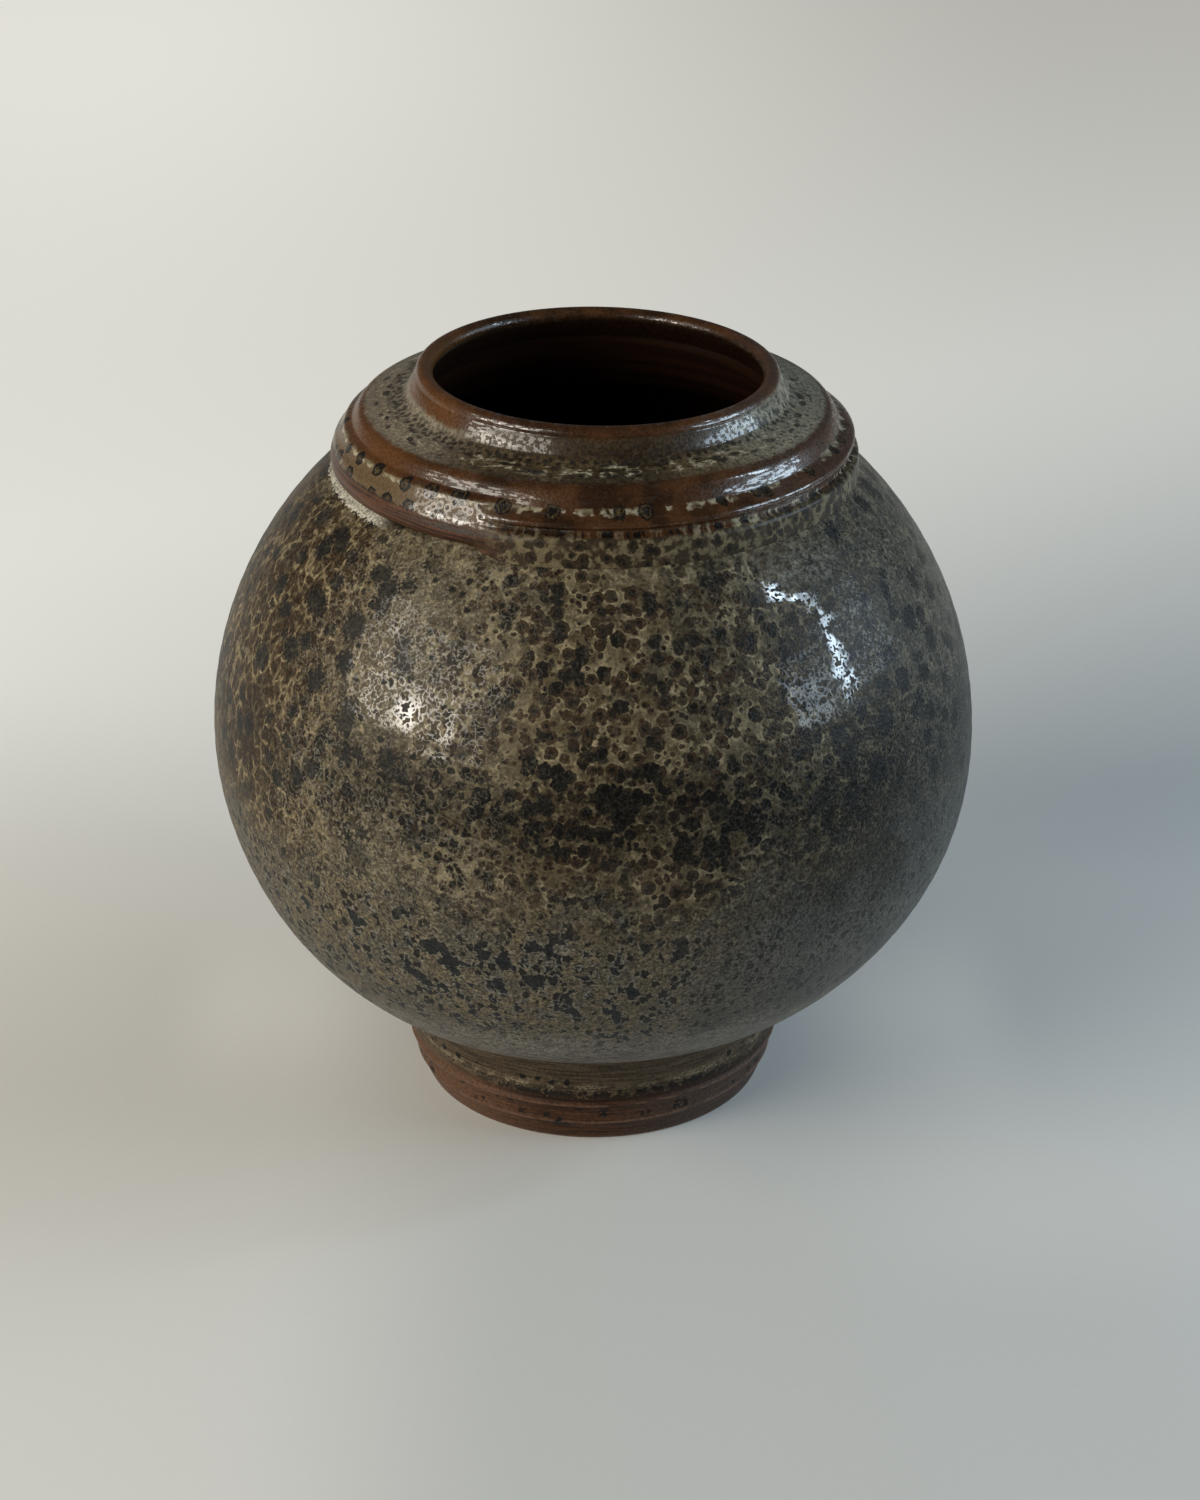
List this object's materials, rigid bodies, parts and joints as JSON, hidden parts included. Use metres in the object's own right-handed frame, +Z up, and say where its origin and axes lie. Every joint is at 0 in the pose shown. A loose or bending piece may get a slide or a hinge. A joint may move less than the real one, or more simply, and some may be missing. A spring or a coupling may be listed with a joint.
{
  "type": "stoneware vase",
  "caption": "Globe-shaped stoneware vase on a turned foot ring, with a tiered collar, a short rolled neck and a mottled olive and rust glaze; holds water and cut flowers.",
  "frame": {"origin": "on the table, at the centre of the foot ring", "axes": "+Z up along the axis of the thrown form; X and Y are level, and -Y faces the viewer of the picture"},
  "size_m": [0.1588, 0.1588, 0.1597],
  "materials": {
    "body_glaze": "satin-gloss mottled olive and ochre glaze over dark brown",
    "collar_glaze": "glossy glaze breaking rust brown on the edges, cream in the grooves",
    "foot_glaze": "thin reddish-brown glaze, bare clay on the standing ring"
  },
  "bodies": {
    "root": {"foot_ring": "foot_glaze", "lower_bowl": "body_glaze", "upper_bowl": "body_glaze", "collar_ring": "collar_glaze", "neck_ring": "collar_glaze"}
  },
  "joints": []
}
